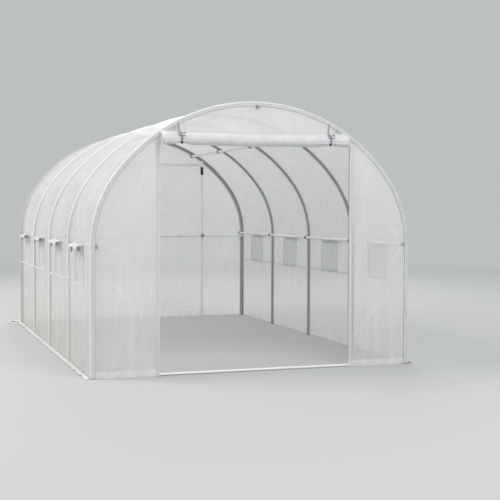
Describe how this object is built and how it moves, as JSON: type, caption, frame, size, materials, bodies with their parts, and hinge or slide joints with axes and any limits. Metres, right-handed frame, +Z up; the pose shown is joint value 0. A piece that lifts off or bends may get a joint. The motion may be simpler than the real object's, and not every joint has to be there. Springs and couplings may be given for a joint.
{
  "type": "polytunnel greenhouse",
  "caption": "Walk-in garden polytunnel with bent tube hoops, a see-through film cover, an open front doorway with its film door rolled up, and rolled-up side windows.",
  "frame": {"origin": "on the ground in the middle of the footprint", "axes": "+X across the tunnel to the right seen from the doorway, +Y along the tunnel from the doorway to the rear, +Z up; the doorway faces -Y"},
  "size_m": [2.78, 4.1842, 2],
  "materials": {
    "tube": "satin",
    "clamp": "satin",
    "film": "satin",
    "hem": "satin",
    "roll": "satin",
    "net": "matte",
    "tie": "matte"
  },
  "bodies": {
    "root": {"door_hem_left": "hem", "door_hem_right": "hem", "door_roll": "roll", "door_threshold": "tube", "door_ties": "tie", "front_edge_band": "hem", "front_hoop": "tube", "front_lintel": "tube", "front_panel_left": "film", "front_panel_right": "film", "front_panel_top": "film", "front_post_left": "tube", "front_post_right": "tube", "inner_hoop_1": "tube", "inner_hoop_2": "tube", "inner_hoop_3": "tube", "left_ground_skirt": "film", "left_wall_cover": "film", "left_window_nets": "net", "left_window_rolls": "roll", "left_window_sills": "hem", "left_window_ties": "tie", "rear_edge_band": "hem", "rear_ground_skirt": "film", "rear_hoop": "tube", "rear_lintel": "tube", "rear_mid_rail": "tube", "rear_panel": "film", "rear_post_left": "tube", "rear_post_right": "tube", "ridge_purlin": "tube", "right_ground_skirt": "film", "right_wall_cover": "film", "right_window_nets": "net", "right_window_rolls": "roll", "right_window_sills": "hem", "right_window_ties": "tie", "roof_cover": "film", "roof_purlin_left": "tube", "roof_purlin_right": "tube", "side_purlin_left": "tube", "side_purlin_right": "tube", "tube_clamps": "clamp"}
  },
  "joints": []
}
